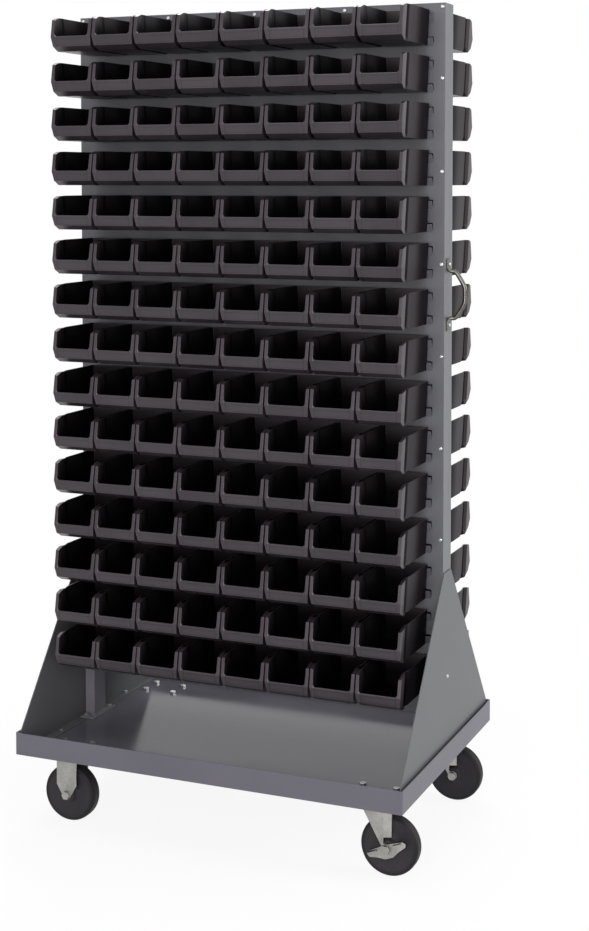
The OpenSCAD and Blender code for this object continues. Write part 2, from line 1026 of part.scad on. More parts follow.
module hook_outline() {
    tongue_back = louver_top_v - louver_h + (sheet_t + seat_gap) / louver_slope;
    bridge = louver_top_v + seat_gap;
    tip = louver_top_v - hook_len;
    polygon([
        [bin_standoff - (tip - tongue_back) * louver_slope, tip],
        [bin_standoff - (bridge - tongue_back) * louver_slope, bridge],
        [-bin_wall / 2, bridge],
        [-bin_wall / 2, bridge + hook_t],
        [bin_standoff + hook_t - (bridge + hook_t - tongue_back) * louver_slope, bridge + hook_t],
        [bin_standoff + hook_t - (tip - tongue_back) * louver_slope, tip]
    ]);
}
module bin() {
    difference() {
        union() {
            bin_block(side_w)
                bin_side_outline();
            bin_block(bin_w)
                intersection() {
                    bin_side_outline();
                    collar_zone();
                }
            across_x(hook_w)
                hook_outline();
        }
        bin_block(side_w - 2 * bin_wall)
            bin_hollow_outline();
        box([cheek_w - bin_w / 2, -bin_l - overcut, lip_h],
            [bin_w / 2 - cheek_w, brow_back + lip_t - bin_l + overcut, bin_h + overcut]);
    }
}
module bin_row(row) {
    color(bin_black)
        for (c = [0 : bin_cols - 1])
            translate([
                (c - (bin_cols - 1) / 2) * bin_pitch,
                -panel_y - bin_standoff,
                bin_top_z - bin_h - (row - 1) * row_pitch
            ])
                bin();
}
module front_row(row) {
    bin_row(row);
}
module rear_row(row) {
    translate([rear_shift, 0, 0])
        turned_round()
            bin_row(row);
}

base_tray();
post_left();
post_right();
top_rail();
bottom_rail();
panel_front();
panel_rear();
end_panel_left();
end_panel_right();
push_handle();
panel_screws();
end_screws();
frame_bolts();
caster_bolts();
rigid_forks();
rigid_axles();
swivel_plates();
king_pins();
swivel_fork_front();
swivel_fork_rear();
swivel_axle_front();
swivel_axle_rear();
brake_lever_front();
brake_lever_rear();
wheel_rigid_front();
wheel_rigid_rear();
wheel_swivel_front();
wheel_swivel_rear();
for (row = [1 : bin_rows]) {
    front_row(row);
    rear_row(row);
}
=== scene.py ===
"""Looks of the mobile louvered bin rack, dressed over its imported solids.

The frame is in metres, +Z up, with the front towards -Y. The sizes of the new pieces are in millimetres.
"""

import math

import bpy
import numpy as np
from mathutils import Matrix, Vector

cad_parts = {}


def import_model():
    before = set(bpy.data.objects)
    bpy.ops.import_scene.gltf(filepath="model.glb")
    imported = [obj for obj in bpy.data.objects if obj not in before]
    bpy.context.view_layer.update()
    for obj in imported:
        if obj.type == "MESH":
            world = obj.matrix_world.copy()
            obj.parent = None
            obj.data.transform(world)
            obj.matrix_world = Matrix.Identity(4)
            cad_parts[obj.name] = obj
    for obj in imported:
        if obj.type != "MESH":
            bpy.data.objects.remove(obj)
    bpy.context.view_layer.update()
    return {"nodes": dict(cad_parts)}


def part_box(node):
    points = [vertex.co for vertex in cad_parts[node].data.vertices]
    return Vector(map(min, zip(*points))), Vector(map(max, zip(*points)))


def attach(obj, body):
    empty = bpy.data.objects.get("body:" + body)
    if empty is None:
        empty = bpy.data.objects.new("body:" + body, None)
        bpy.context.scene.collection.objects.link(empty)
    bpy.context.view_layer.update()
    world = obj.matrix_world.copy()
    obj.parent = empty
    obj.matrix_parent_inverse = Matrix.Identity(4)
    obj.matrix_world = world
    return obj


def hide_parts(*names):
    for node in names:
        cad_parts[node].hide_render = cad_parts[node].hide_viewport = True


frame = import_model()
MM = 0.001


# Surfaces as grids of points


def grid_faces(rows, columns, wrap=True):
    """Quads between neighbours in a grid counted row by row, closed round its columns if it wraps."""
    row = np.arange(rows - 1)[:, None]
    column = np.arange(columns if wrap else columns - 1)[None, :]
    beside = (column + 1) % columns
    first, second = row * columns, (row + 1) * columns
    quads = np.stack([first + column, first + beside, second + beside, second + column], -1)
    return quads.reshape(-1, 4).tolist()


def tube_faces(rows, columns):
    """Quads of a closed tube of rings, and a cap on its first and last ring."""
    first = np.arange(columns)[::-1].tolist()
    last = (np.arange(columns) + (rows - 1) * columns).tolist()
    return grid_faces(rows, columns) + [first, last]


def shifted(faces, count):
    """The same faces on points that come after a number of others."""
    return [(np.array(face) + count).tolist() for face in faces]


def box_mm(node):
    """Lowest and highest corner of a node's solids at rest, in millimetres."""
    return np.array(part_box(node)) / MM


def new_piece(name, points, faces, crease=40.0):
    """A mesh object from an array of points, smooth except across edges bent by more than the crease."""
    mesh = bpy.data.meshes.new(name)
    mesh.from_pydata(np.asarray(points).reshape(-1, 3).tolist(), [], faces)
    mesh.polygons.foreach_set("use_smooth", np.ones(len(mesh.polygons), bool))
    mesh.set_sharp_from_angle(angle=math.radians(crease))
    piece = bpy.data.objects.new(name, mesh)
    bpy.context.scene.collection.objects.link(piece)
    return piece


def note_points(piece, name, kind, values):
    """Keeps a value or a vector at each point of a piece, for its material to read."""
    field = piece.data.attributes.new(name, kind, "POINT")
    part = "value" if kind == "FLOAT" else "vector"
    field.data.foreach_set(part, np.ascontiguousarray(values, "f").ravel())


def dress(piece, body, node, material):
    """Puts a piece in place of a solid, on its body, with its material."""
    piece.data.materials.append(material)
    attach(piece, body)
    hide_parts(node)


# Shader nodes


def add(tree, kind, inputs=None, **settings):
    """Adds a shader node, sets its properties, and links or sets each named input."""
    made = tree.nodes.new(kind)
    for key, value in settings.items():
        setattr(made, key, value)
    for key, value in (inputs or {}).items():
        if isinstance(value, bpy.types.NodeSocket):
            tree.links.new(value, made.inputs[key])
        else:
            made.inputs[key].default_value = value
    return made


def math_of(tree, operation, first, second=0.5, third=0.0):
    """Output of one Math node."""
    return add(tree, "ShaderNodeMath", {0: first, 1: second, 2: third}, operation=operation).outputs[0]


def times(tree, first, second):
    """Product of two values."""
    return math_of(tree, "MULTIPLY", first, second)


def larger(tree, first, second):
    """The larger of two values."""
    return math_of(tree, "MAXIMUM", first, second)


def ramp(tree, value, low, high, start=0.0, end=1.0):
    """Maps a value from low to high onto start to end with a smooth step."""
    return add(tree, "ShaderNodeMapRange", {
        "Value": value, "From Min": low, "From Max": high, "To Min": start, "To Max": end,
    }, interpolation_type="SMOOTHSTEP").outputs["Result"]


def before(tree, value, place, soft):
    """One before a place in millimetres and nought after it, softened to both sides of it."""
    return ramp(tree, value, (place + soft) * MM, (place - soft) * MM)


def after(tree, value, place, soft):
    """Nought before a place in millimetres and one after it, softened to both sides of it."""
    return ramp(tree, value, (place - soft) * MM, (place + soft) * MM)


def line_near(tree, value, middle, half_width):
    """One within a narrow band about a place in millimetres, and nought outside it."""
    away = math_of(tree, "ABSOLUTE", math_of(tree, "SUBTRACT", value, middle * MM))
    return ramp(tree, away, half_width * MM, 0.4 * half_width * MM)


def blend(tree, amount, under, over):
    """Colour mixed from under to over by an amount."""
    mixed = add(tree, "ShaderNodeMix", {0: amount, 6: under, 7: over}, data_type="RGBA")
    return mixed.outputs[2]


def attribute(tree, name, part):
    """A value or vector that a piece keeps at its points."""
    return add(tree, "ShaderNodeAttribute", attribute_name=name).outputs[part]


def object_place(tree):
    """Place on the object, in its own coordinates."""
    return add(tree, "ShaderNodeTexCoord").outputs["Object"]


def face_normal(tree):
    """Direction that the surface looks in."""
    return add(tree, "ShaderNodeNewGeometry").outputs["Normal"]


def noise(tree, place, scale, detail, distortion=0.0):
    """Cloudy noise over a place."""
    return add(tree, "ShaderNodeTexNoise", {
        "Vector": place, "Scale": scale, "Detail": detail, "Distortion": distortion,
    }).outputs["Fac"]


def looks_along(tree, axis, low, high):
    """One where a face looks along an axis of the frame, either way, and nought where it looks across."""
    part = add(tree, "ShaderNodeSeparateXYZ", {0: face_normal(tree)}).outputs[axis]
    return ramp(tree, math_of(tree, "ABSOLUTE", part), low, high)


def sees_background(tree):
    """One for rays from the camera, and for reflected and transmitted ones, which show the background."""
    path = add(tree, "ShaderNodeLightPath").outputs
    seen = larger(tree, path["Is Camera Ray"], path["Is Glossy Ray"])
    return larger(tree, seen, path["Is Transmission Ray"])


def new_finish(name):
    """An empty node material."""
    material = bpy.data.materials.new(name)
    material.use_nodes = True
    material.node_tree.nodes.clear()
    return material, material.node_tree


def close_finish(tree, inputs):
    """Ends a material with one Principled shader."""
    shader = add(tree, "ShaderNodeBsdfPrincipled", inputs)
    add(tree, "ShaderNodeOutputMaterial", {"Surface": shader.outputs[0]})


# Camera, light and floor

WHITE = (1, 1, 1, 1)
FLOOR_HALF, FLOOR_POINTS = 14.0, 15


def stand_camera():
    """Stands the camera ahead of the rack and to its right, level with the upper rows of bins."""
    tilt_down, turn_left = 2.855, 22.86
    data = bpy.data.cameras.new("camera")
    data.lens = 63.2
    data.sensor_width = 36.0
    data.shift_y = -0.22
    data.clip_end = 80.0
    camera = bpy.data.objects.new("camera", data)
    camera.location = (1.5166, -3.3934, 1.4514)
    camera.rotation_euler = (math.radians(90 - tilt_down), 0.0, math.radians(turn_left))
    bpy.context.scene.collection.objects.link(camera)
    bpy.context.scene.camera = camera


def hang_softbox(name, place, aim, side, power, tint=(1.0, 1.0, 1.0)):
    """Hangs a square soft light at a place, turned towards the point it is aimed at."""
    data = bpy.data.lights.new(name, "AREA")
    data.size = side
    data.energy = power
    data.color = tint
    lamp = bpy.data.objects.new(name, data)
    lamp.location = place
    lamp.rotation_euler = (Vector(aim) - Vector(place)).to_track_quat("-Z", "Y").to_euler()
    bpy.context.scene.collection.objects.link(lamp)


def light_studio():
    """A pale room that looks white, a broad softbox beside the camera, and weaker ones round the rack."""
    world = bpy.data.worlds.new("studio")
    bpy.context.scene.world = world
    world.use_nodes = True
    tree = world.node_tree
    tree.nodes.clear()
    colour = blend(tree, sees_background(tree), (0.42, 0.42, 0.43, 1), WHITE)
    room = add(tree, "ShaderNodeBackground", {"Color": colour, "Strength": 1.0})
    add(tree, "ShaderNodeOutputWorld", {"Surface": room.outputs[0]})
    hang_softbox(
        "front_softbox", (1.2, -4.9, 1.7), (0, 0, 0.95), side=3.2, power=190, tint=(1.0, 0.965, 0.99))
    hang_softbox("right_softbox", (4.6, 0.9, 2.5), (0.4, 0, 1.2), side=2.2, power=130)
    hang_softbox("top_softbox", (-0.2, -0.9, 4.2), (0, 0, 1.0), side=2.0, power=35)
    hang_softbox("rear_softbox", (-1.2, 3.4, 4.8), (0, 0, 0.9), side=2.6, power=110)


def lay_floor():
    """A pale floor under the casters: a square grid that keeps the shadow and turns white with distance."""
    along = np.linspace(-FLOOR_HALF, FLOOR_HALF, FLOOR_POINTS)
    x, y = np.meshgrid(along, along)
    points = np.stack([x, y, np.zeros_like(x)], -1)
    floor = new_piece("floor", points, grid_faces(FLOOR_POINTS, FLOOR_POINTS, wrap=False))
    material, tree = new_finish("pale_floor")
    place = object_place(tree)
    away = add(tree, "ShaderNodeVectorMath", {0: place}, operation="LENGTH").outputs["Value"]
    far = ramp(tree, away, 0.5, 1.4, 0.90, 1.0)
    pale = blend(tree, noise(tree, place, 60.0, 4.0), (0.88, 0.88, 0.88, 1), (0.92, 0.92, 0.92, 1))
    matt = add(tree, "ShaderNodeBsdfDiffuse", {"Color": pale})
    white = add(tree, "ShaderNodeEmission", {"Color": WHITE, "Strength": 1.0})
    amount = times(tree, far, sees_background(tree))
    surface = add(tree, "ShaderNodeMixShader", {0: amount, 1: matt.outputs[0], 2: white.outputs[0]})
    add(tree, "ShaderNodeOutputMaterial", {"Surface": surface.outputs[0]})
    floor.data.materials.append(material)


# Moulded bins: x across from a bin's middle, y forward from its back wall, z up from its sole

BIN_ROWS, BIN_COLUMNS, BIN_PITCH, BIN_H = 15, 8, 104.4, 76.2
SIDE_X, FLANGE_X, RECESS_X, MOUTH_X = 49.7, 51.9, 46.2, 43.0
GROOVE_START_Y, GROOVE_FLOOR_Y, FLANGE_ROOT_Y, BAR_TOP_Y = 124.0, 140.0, 153.0, 170.0
CHIN_Z, LIP_Z, BAR_MIDDLE_Z, BAR_TOP_Z = 10.0, 32.0, 58.0, 76.0
SIDE_DRAFT, FRONT_DRAFT = 4.5, 4.2
BIN_WALL, LIP_WALL, FLOOR_SETBACK, LIP_ROUND, BAR_STEP = 2.2, 4.0, 11.0, 1.0, 0.4
LABEL_X, LABEL_LOW_Z, LABEL_HIGH_Z = 39.2, 12.5, 26.5
HOOK_HALF_W, HOOK_REACH = 33.0, 8.6
REAR_SEED = 40


def bin_front(z):
    """How far forward a bin reaches at a height: out from the sole to the lip, then back along the bars."""
    return np.interp(z, [0, CHIN_Z, LIP_Z, BAR_MIDDLE_Z, BAR_TOP_Z], [155, 173, 179, 174.5, BAR_TOP_Y])


def bin_tub():
    """Points of one bin as a grid of six levels by a ring of eighteen.

    Half a ring has nine points: the rear corner, the groove's start and floor, the flange's root, back edge
    and front edge, the bar's inner edge, and the mouth's corner and sill. The other half is its mirror
    image. The levels run from the inside floor up to the inner rim, over the rim, and down the outside to
    the lip, the chin and the sole. The rim's height depends on the ring alone, and the reach on the height.
    The sides narrow all the way down, and the flange only below the lip.
    """
    ring = np.arange(9)
    on_side, on_mouth = ring < 4, ring >= 6
    rim_z = np.array([BIN_H, BIN_H, 75.8, 75.2, 72.4, 69.8, 69.0, 37.0, LIP_Z + 0.6])
    side_y = np.array([0, GROOVE_START_Y, GROOVE_FLOOR_Y, FLANGE_ROOT_Y, 0, 0, 0, 0, 0])
    set_back = np.array([0, 40, 24, 12, 6, 0, 0, 0, 0])
    mouth = np.array([MOUTH_X + 0.6, MOUTH_X, MOUTH_X - 4])
    flange = np.array([FLANGE_X, FLANGE_X - 0.5, FLANGE_X - 1.4])
    outer_x = np.concatenate([[SIDE_X, SIDE_X, RECESS_X], flange, mouth])
    inner_side = np.array([SIDE_X, SIDE_X, RECESS_X, RECESS_X, RECESS_X, RECESS_X]) - BIN_WALL
    inner_x = np.concatenate([inner_side, mouth])

    def level(z, x, wall, rounding=0.0):
        """One half ring at a height, or at one height for each of its points."""
        z = np.broadcast_to(np.asarray(z, float), ring.shape)
        reach = bin_front(z) - wall - rounding * (ring >= 7) - set_back
        y = np.where(on_side, np.minimum(side_y, reach), reach)
        y = np.maximum(y, BIN_WALL * (wall > 0))
        side_in = SIDE_DRAFT * (1 - z / BIN_H)
        front_in = FRONT_DRAFT * np.clip(1 - z / LIP_Z, 0, 1)
        x = x - np.where(on_side, side_in, np.where(on_mouth, 0.0, front_in))
        x[on_mouth] = np.minimum(x[on_mouth], x[5] - BAR_STEP * np.arange(1, 4))
        return np.stack([x, -y, z], -1)

    half = np.stack([
        level(BIN_WALL, inner_x, FLOOR_SETBACK),
        level(rim_z, inner_x, LIP_WALL),
        level(rim_z, outer_x, 0.0, LIP_ROUND),
        level(LIP_Z - LIP_ROUND, outer_x, 0.0),
        level(CHIN_Z, outer_x, 0.0),
        level(0.0, outer_x, 0.0),
    ])
    return np.concatenate([half, half[:, ::-1] * [-1, 1, 1]], 1)


def bin_hook():
    """Points of the hook behind a bin: a bent strip's section, carried straight across the back."""
    section = [[6.6, 58], [1.95, 67.3], [-1.1, 67.3], [-1.1, 69.3], [2.95, 69.3], [HOOK_REACH, 58]]
    points = np.empty((2, len(section), 3))
    points[..., 0] = [[HOOK_HALF_W], [-HOOK_HALF_W]]
    points[..., 1:] = section
    return points


def row_place(node, rear):
    """Where a row stands, from its solids' box: the row's middle, its bins' back walls and their soles."""
    low, high = box_mm(node)
    back_y = low[1] + HOOK_REACH if rear else high[1] - HOOK_REACH
    return np.array([(low[0] + high[0]) / 2, back_y, low[2]])


def bin_row(name, node, row, rear):
    """A row of bins: one tub and hook, repeated at the bins' pitch, and turned half round on the rear."""
    tub, hook = bin_tub(), bin_hook()
    one = np.concatenate([tub.reshape(-1, 3), hook.reshape(-1, 3)])
    tub_count = len(one) - hook[..., 0].size
    faces = tube_faces(*tub.shape[:2]) + shifted(tube_faces(*hook.shape[:2]), tub_count)
    column = np.arange(BIN_COLUMNS)
    step = np.zeros((BIN_COLUMNS, 1, 3))
    step[:, 0, 0] = (column - (BIN_COLUMNS - 1) / 2) * BIN_PITCH
    turned = [-1, -1, 1] if rear else [1, 1, 1]
    points = (one[None] + step) * turned + row_place(node, rear)
    all_faces = sum((shifted(faces, number * len(one)) for number in column), [])
    piece = new_piece(name, points * MM, all_faces, crease=18.0)
    piece.modifiers.new("even_shading", "WEIGHTED_NORMAL").keep_sharp = True
    # Depth of each point in the tub, one at its floor and a half at its inner rim: it weights the painted
    # shade inside.
    inside = np.zeros(len(one))
    inside[:tub_count] = np.repeat([1.0, 0.5, 0.0, 0.0, 0.0, 0.0], tub.shape[1])
    batch = np.random.default_rng(row + REAR_SEED * rear).random(BIN_COLUMNS)
    note_points(piece, "bin_place", "FLOAT_VECTOR", np.tile(one * [1, -1, 1] * MM, (BIN_COLUMNS, 1)))
    note_points(piece, "bin_inside", "FLOAT", np.tile(inside, BIN_COLUMNS))
    note_points(piece, "bin_batch", "FLOAT", np.repeat(batch, len(one)))
    return piece


def hang_bins(material):
    """Fifteen rows on the front and fifteen on the rear, each in place of its solids."""
    for rear, side in enumerate(("front", "rear")):
        for row in range(BIN_ROWS):
            number = "%02d" % (row + 1)
            node = "bins_%s_%s" % (side, number)
            piece = bin_row("moulded_" + node, node, row, rear)
            dress(piece, "%s_row_%s" % (side, number), node, material)


# Push handle: corners of its path's upper half, out from the end panel and up from the handle's middle

HANDLE_OUT = np.array([1.6, 1.6, 1.6, 6, 17, 27, 38, 38])
HANDLE_UP = np.array([79, 66, 55, 51, 51, 36, 17, 6])
ROD_R, ROD_SIDES, ROD_ROUNDS = 5.0, 24, 3
FOOT_HALF_W, FOOT_HALF_T, FOOT_UP, FOOT_OUT, FOOT_BLEND = 13.0, 1.5, 47.0, 2.0, 12.0
FOOT_SQUARENESS = 0.6


def bent_rod(corners, rounds):
    """A path rounded at its corners: in each round, every side is cut at a quarter from both ends."""
    path = np.asarray(corners, float)
    for _ in range(rounds):
        near = 0.75 * path[:-1] + 0.25 * path[1:]
        far = 0.25 * path[:-1] + 0.75 * path[1:]
        cut = np.stack([near, far], 1).reshape(-1, 3)
        path = np.concatenate([path[:1], cut, path[-1:]])
    return path


def push_handle(material):
    """The push handle: a round section carried along its bent path, flattened where it lies on the panel.

    At each point of the path the section is an ellipse across the path. Towards the two ends its width
    grows, its thickness shrinks, and its sine and cosine are raised to a lower power, which squares it.
    """
    low, high = box_mm("push_handle")
    panel_x, middle_z = low[0], (low[2] + high[2]) / 2
    upper = np.stack([panel_x + HANDLE_OUT, np.zeros(len(HANDLE_OUT)), middle_z + HANDLE_UP], -1)
    lower = upper[::-1] * [1, 1, -1] + [0, 0, 2 * middle_z]
    path = bent_rod(np.concatenate([upper, lower]), ROD_ROUNDS)
    along = np.gradient(path, axis=0)
    along /= np.linalg.norm(along, axis=1, keepdims=True)
    sideways = np.array([0.0, 1.0, 0.0])
    outward = np.cross(along, sideways)[:, None]
    high_up = np.clip((np.abs(path[:, 2] - middle_z) - FOOT_UP) / FOOT_BLEND, 0, 1)
    near_panel = np.clip(1 - (path[:, 0] - panel_x - FOOT_OUT) / FOOT_BLEND, 0, 1)
    flat = (high_up * high_up * (3 - 2 * high_up) * near_panel)[:, None]
    width = ROD_R + (FOOT_HALF_W - ROD_R) * flat
    thick = ROD_R + (FOOT_HALF_T - ROD_R) * flat
    turn = np.linspace(0, 2 * np.pi, ROD_SIDES, endpoint=False)
    power = 1 - FOOT_SQUARENESS * flat
    across = width * np.sign(np.cos(turn)) * np.abs(np.cos(turn)) ** power
    through = thick * np.sign(np.sin(turn)) * np.abs(np.sin(turn)) ** power
    points = path[:, None] + across[..., None] * sideways + through[..., None] * outward
    piece = new_piece("bent_handle", points * MM, tube_faces(len(path), ROD_SIDES), crease=60.0)
    dress(piece, "rack", "push_handle", material)


# Wheels: half a section from bore to tread, as radius and distance from the wheel's middle

WHEEL_HUB = [[5.05, 24], [13.5, 24], [16, 23.2], [17, 21.5]]
WHEEL_WEB = [[19.5, 14.5], [22, 13.4], [34, 13.6], [46, 14.4]]
WHEEL_SHOULDER = [[51, 15.4], [55.5, 15.8], [59, 15.2], [61.6, 13.4], [63, 10.6]]
WHEEL_TREAD = [[63.5, 7], [63.5, 2.4], [63.2, 0.8]]
WHEEL_STEPS = 72
SHOULDER_R, SHOULDER_SOFT, TREAD_R, TREAD_SOFT = 54.5, 4.5, 62.65, 0.65


def wheel(name, body, node, material):
    """A wheel: the section of hub, web and rounded tread, turned about the axle, which lies along Y."""
    low, high = box_mm(node)
    half = np.array(WHEEL_HUB + WHEEL_WEB + WHEEL_SHOULDER + WHEEL_TREAD)
    section = np.concatenate([half, half[::-1] * [1, -1]])
    radius, across = section.T
    turn = np.linspace(0, 2 * np.pi, WHEEL_STEPS, endpoint=False)[:, None]
    rings = np.broadcast_arrays(radius * np.cos(turn), across, radius * np.sin(turn))
    points = np.stack(rings, -1) + (low + high) / 2
    quads = np.array(grid_faces(WHEEL_STEPS + 1, len(section))) % (WHEEL_STEPS * len(section))
    piece = new_piece(name, points * MM, quads.tolist(), crease=50.0)
    note_points(piece, "from_axle", "FLOAT", np.tile(radius * MM, WHEEL_STEPS))
    dress(piece, body, node, material)


def set_wheels(material):
    """Two rigid and two swivel wheels, each in place of its solid."""
    for side in ("front", "rear"):
        for mount in ("rigid", "swivel"):
            node = "wheel_%s_%s" % (mount, side)
            wheel("turned_" + node, "wheel_%s_%s" % (side, mount), node, material)


# Effects that several finishes share

FLOAT, VECTOR = "NodeSocketFloat", "NodeSocketVector"


def new_group(name, inputs, outputs):
    """A shader node group with named inputs and outputs, and its two end nodes."""
    group = bpy.data.node_groups.new(name, "ShaderNodeTree")
    for title, value in inputs:
        group.interface.new_socket(name=title, in_out="INPUT", socket_type=FLOAT).default_value = value
    for title, kind in outputs:
        group.interface.new_socket(name=title, in_out="OUTPUT", socket_type=kind)
    return group, group.nodes.new("NodeGroupInput").outputs, group.nodes.new("NodeGroupOutput").inputs


def edge_wear_group():
    """Worn edges: where the normal of a rounded edge leaves the face's own, broken up by noise."""
    group, given, out = new_group(
        "edge_wear", [("Radius", 0.002), ("Breakup", 60.0), ("Amount", 1.0)],
        [("Mask", FLOAT), ("Normal", VECTOR)])
    rounded = add(group, "ShaderNodeBevel", {"Radius": given["Radius"]}, samples=6).outputs[0]
    same = add(group, "ShaderNodeVectorMath", {0: rounded, 1: face_normal(group)}, operation="DOT_PRODUCT")
    edge = ramp(group, same.outputs["Value"], 0.98, 0.80)
    patches = noise(group, object_place(group), given["Breakup"], 5.0)
    broken = times(group, edge, ramp(group, patches, 0.38, 0.62, 0.25, 1.0))
    group.links.new(times(group, broken, given["Amount"]), out["Mask"])
    group.links.new(rounded, out["Normal"])
    return group


def dust_group():
    """Dust: settles on faces that look up, in drifts of noise."""
    group, given, out = new_group("dust", [("Amount", 0.3), ("Scale", 9.0)], [("Mask", FLOAT)])
    up = add(group, "ShaderNodeSeparateXYZ", {0: face_normal(group)}).outputs["Z"]
    drifts = noise(group, object_place(group), given["Scale"], 7.0)
    settled = times(group, ramp(group, up, 0.3, 0.95), ramp(group, drifts, 0.35, 0.75))
    group.links.new(times(group, settled, given["Amount"]), out["Mask"])
    return group


def grain_group():
    """Grain: fine noise for the height of a surface, and slow noise for its tone."""
    group, given, out = new_group(
        "grain", [("Fine", 700.0), ("Slow", 5.0)], [("Height", FLOAT), ("Tone", FLOAT)])
    place = object_place(group)
    slow = noise(group, place, given["Slow"], 6.0)
    group.links.new(noise(group, place, given["Fine"], 3.0), out["Height"])
    group.links.new(ramp(group, slow, 0.3, 0.7), out["Tone"])
    return group


def scuff_group():
    """Scuffs: thin lines left along a stretched, warped noise where it crosses its middle."""
    group, given, out = new_group("scuffs", [("Scale", 14.0), ("Amount", 0.5)], [("Mask", FLOAT)])
    place = object_place(group)
    stretched = add(group, "ShaderNodeMapping", {
        "Vector": place, "Rotation": (0.5, 0.3, 0.9), "Scale": (1, 5, 1.4)}).outputs[0]
    streaks = noise(group, stretched, given["Scale"], 3.0, distortion=0.4)
    off_middle = math_of(group, "ABSOLUTE", math_of(group, "SUBTRACT", streaks, 0.5))
    patches = ramp(group, noise(group, place, 7.0, 2.0), 0.52, 0.68)
    lines = times(group, ramp(group, off_middle, 0.010, 0.0), patches)
    group.links.new(times(group, lines, given["Amount"]), out["Mask"])
    return group


GROUPS = {
    "edge_wear": edge_wear_group(), "dust": dust_group(), "grain": grain_group(), "scuffs": scuff_group(),
}


def effect(tree, name, **values):
    """Places a shared effect in a material, with its own values."""
    node = add(tree, "ShaderNodeGroup", values, node_tree=GROUPS[name])
    return node.outputs


# Finishes


def enamelled_steel(name, dark, light, worn, rough, level_rough, shine):
    """Baked enamel on sheet steel: two close tones, orange peel, pale worn edges, scuffs and a little dust.

    Level faces have a roughness of their own, because they are where the enamel runs out smooth.
    """
    material, tree = new_finish(name)
    grain = effect(tree, "grain", Fine=900.0, Slow=3.5)
    edge = effect(tree, "edge_wear", Radius=0.0016, Breakup=45.0, Amount=0.4)
    scuff = effect(tree, "scuffs", Scale=10.0, Amount=0.07)
    settled = effect(tree, "dust", Amount=0.05, Scale=7.0)
    colour = blend(tree, grain["Tone"], dark, light)
    colour = blend(tree, scuff["Mask"], colour, worn)
    colour = blend(tree, edge["Mask"], colour, worn)
    colour = blend(tree, settled["Mask"], colour, (0.30, 0.29, 0.29, 1))
    level = looks_along(tree, "Z", 0.85, 0.98)
    roughness = ramp(tree, grain["Tone"], 0.0, 1.0, rough - 0.03, rough + 0.03)
    roughness = math_of(tree, "MULTIPLY_ADD", level, level_rough - rough, roughness)
    roughness = math_of(tree, "MULTIPLY_ADD", settled["Mask"], 0.25, roughness)
    peel = add(tree, "ShaderNodeBump", {
        "Height": grain["Height"], "Strength": 0.03, "Distance": 0.0003, "Normal": edge["Normal"]})
    close_finish(tree, {
        "Base Color": colour, "Roughness": roughness, "Normal": peel.outputs[0],
        "Specular IOR Level": shine})
    return material


def zinc_plate(name, dark, light, rough):
    """Bright zinc on pressed steel: crystal flecks of two tones, brushed roughness and dulled edges."""
    material, tree = new_finish(name)
    place = object_place(tree)
    flecks = add(tree, "ShaderNodeTexVoronoi", {"Vector": place, "Scale": 210.0, "Randomness": 1.0})
    fleck = add(tree, "ShaderNodeSeparateColor", {0: flecks.outputs["Color"]}).outputs[0]
    grain = effect(tree, "grain", Fine=1100.0, Slow=24.0)
    edge = effect(tree, "edge_wear", Radius=0.0012, Breakup=90.0, Amount=0.5)
    tone = math_of(tree, "MULTIPLY_ADD", fleck, 0.35, times(tree, grain["Tone"], 0.6))
    colour = blend(tree, tone, dark, light)
    colour = blend(tree, edge["Mask"], colour, (0.62, 0.62, 0.60, 1))
    roughness = math_of(tree, "MULTIPLY_ADD", grain["Tone"], 0.16, rough)
    bump = add(tree, "ShaderNodeBump", {
        "Height": grain["Height"], "Strength": 0.10, "Distance": 0.0003, "Normal": edge["Normal"]})
    close_finish(tree, {
        "Base Color": colour, "Metallic": 1.0, "Roughness": roughness, "Normal": bump.outputs[0]})
    return material


def wheel_tread(name):
    """Moulded wheel: charcoal body, rings left by the mould, painted shade on the rounded shoulder and a
    scuffed dusty tread.
    """
    ring_waves = 2600.0
    material, tree = new_finish(name)
    radius = attribute(tree, "from_axle", "Fac")
    grain = effect(tree, "grain", Fine=600.0, Slow=16.0)
    edge = effect(tree, "edge_wear", Radius=0.0020, Breakup=60.0, Amount=0.6)
    scuff = effect(tree, "scuffs", Scale=26.0, Amount=0.5)
    rings = math_of(tree, "SINE", times(tree, radius, ring_waves))
    shoulder = after(tree, radius, SHOULDER_R, SHOULDER_SOFT)
    tread = after(tree, radius, TREAD_R, TREAD_SOFT)
    colour = blend(tree, grain["Tone"], (0.017, 0.016, 0.018, 1), (0.026, 0.024, 0.027, 1))
    # Painted shade on the rounded shoulder, where it turns away from the light.
    colour = blend(tree, times(tree, shoulder, 0.8), colour, (0.006, 0.0055, 0.006, 1))
    colour = blend(tree, times(tree, tread, grain["Tone"]), colour, (0.020, 0.019, 0.019, 1))
    colour = blend(tree, scuff["Mask"], colour, (0.06, 0.06, 0.06, 1))
    colour = blend(tree, edge["Mask"], colour, (0.03, 0.03, 0.03, 1))
    roughness = ramp(tree, grain["Tone"], 0.0, 1.0, 0.50, 0.66)
    height = math_of(tree, "MULTIPLY_ADD", rings, 0.25, grain["Height"])
    bump = add(tree, "ShaderNodeBump", {
        "Height": height, "Strength": 0.12, "Distance": 0.0003, "Normal": edge["Normal"]})
    close_finish(tree, {
        "Base Color": colour, "Roughness": roughness, "Normal": bump.outputs[0], "Specular IOR Level": 0.2})
    return material


def label_grooves(tree, across, forward, up):
    """One in the grooves that frame the label field on a bin's lip: two level ones and one at each end."""
    level_half, end_half = 1.0, 1.6
    on_lip = times(tree, after(tree, forward, BAR_TOP_Y, 2.0), before(tree, up, LIP_Z, 0.5))
    high_line = line_near(tree, up, LABEL_HIGH_Z, level_half)
    level = larger(tree, high_line, line_near(tree, up, LABEL_LOW_Z, level_half))
    between_ends = before(tree, across, LABEL_X + 0.4, 0.4)
    ends = line_near(tree, across, LABEL_X, end_half)
    return times(tree, on_lip, larger(tree, times(tree, between_ends, level), ends))


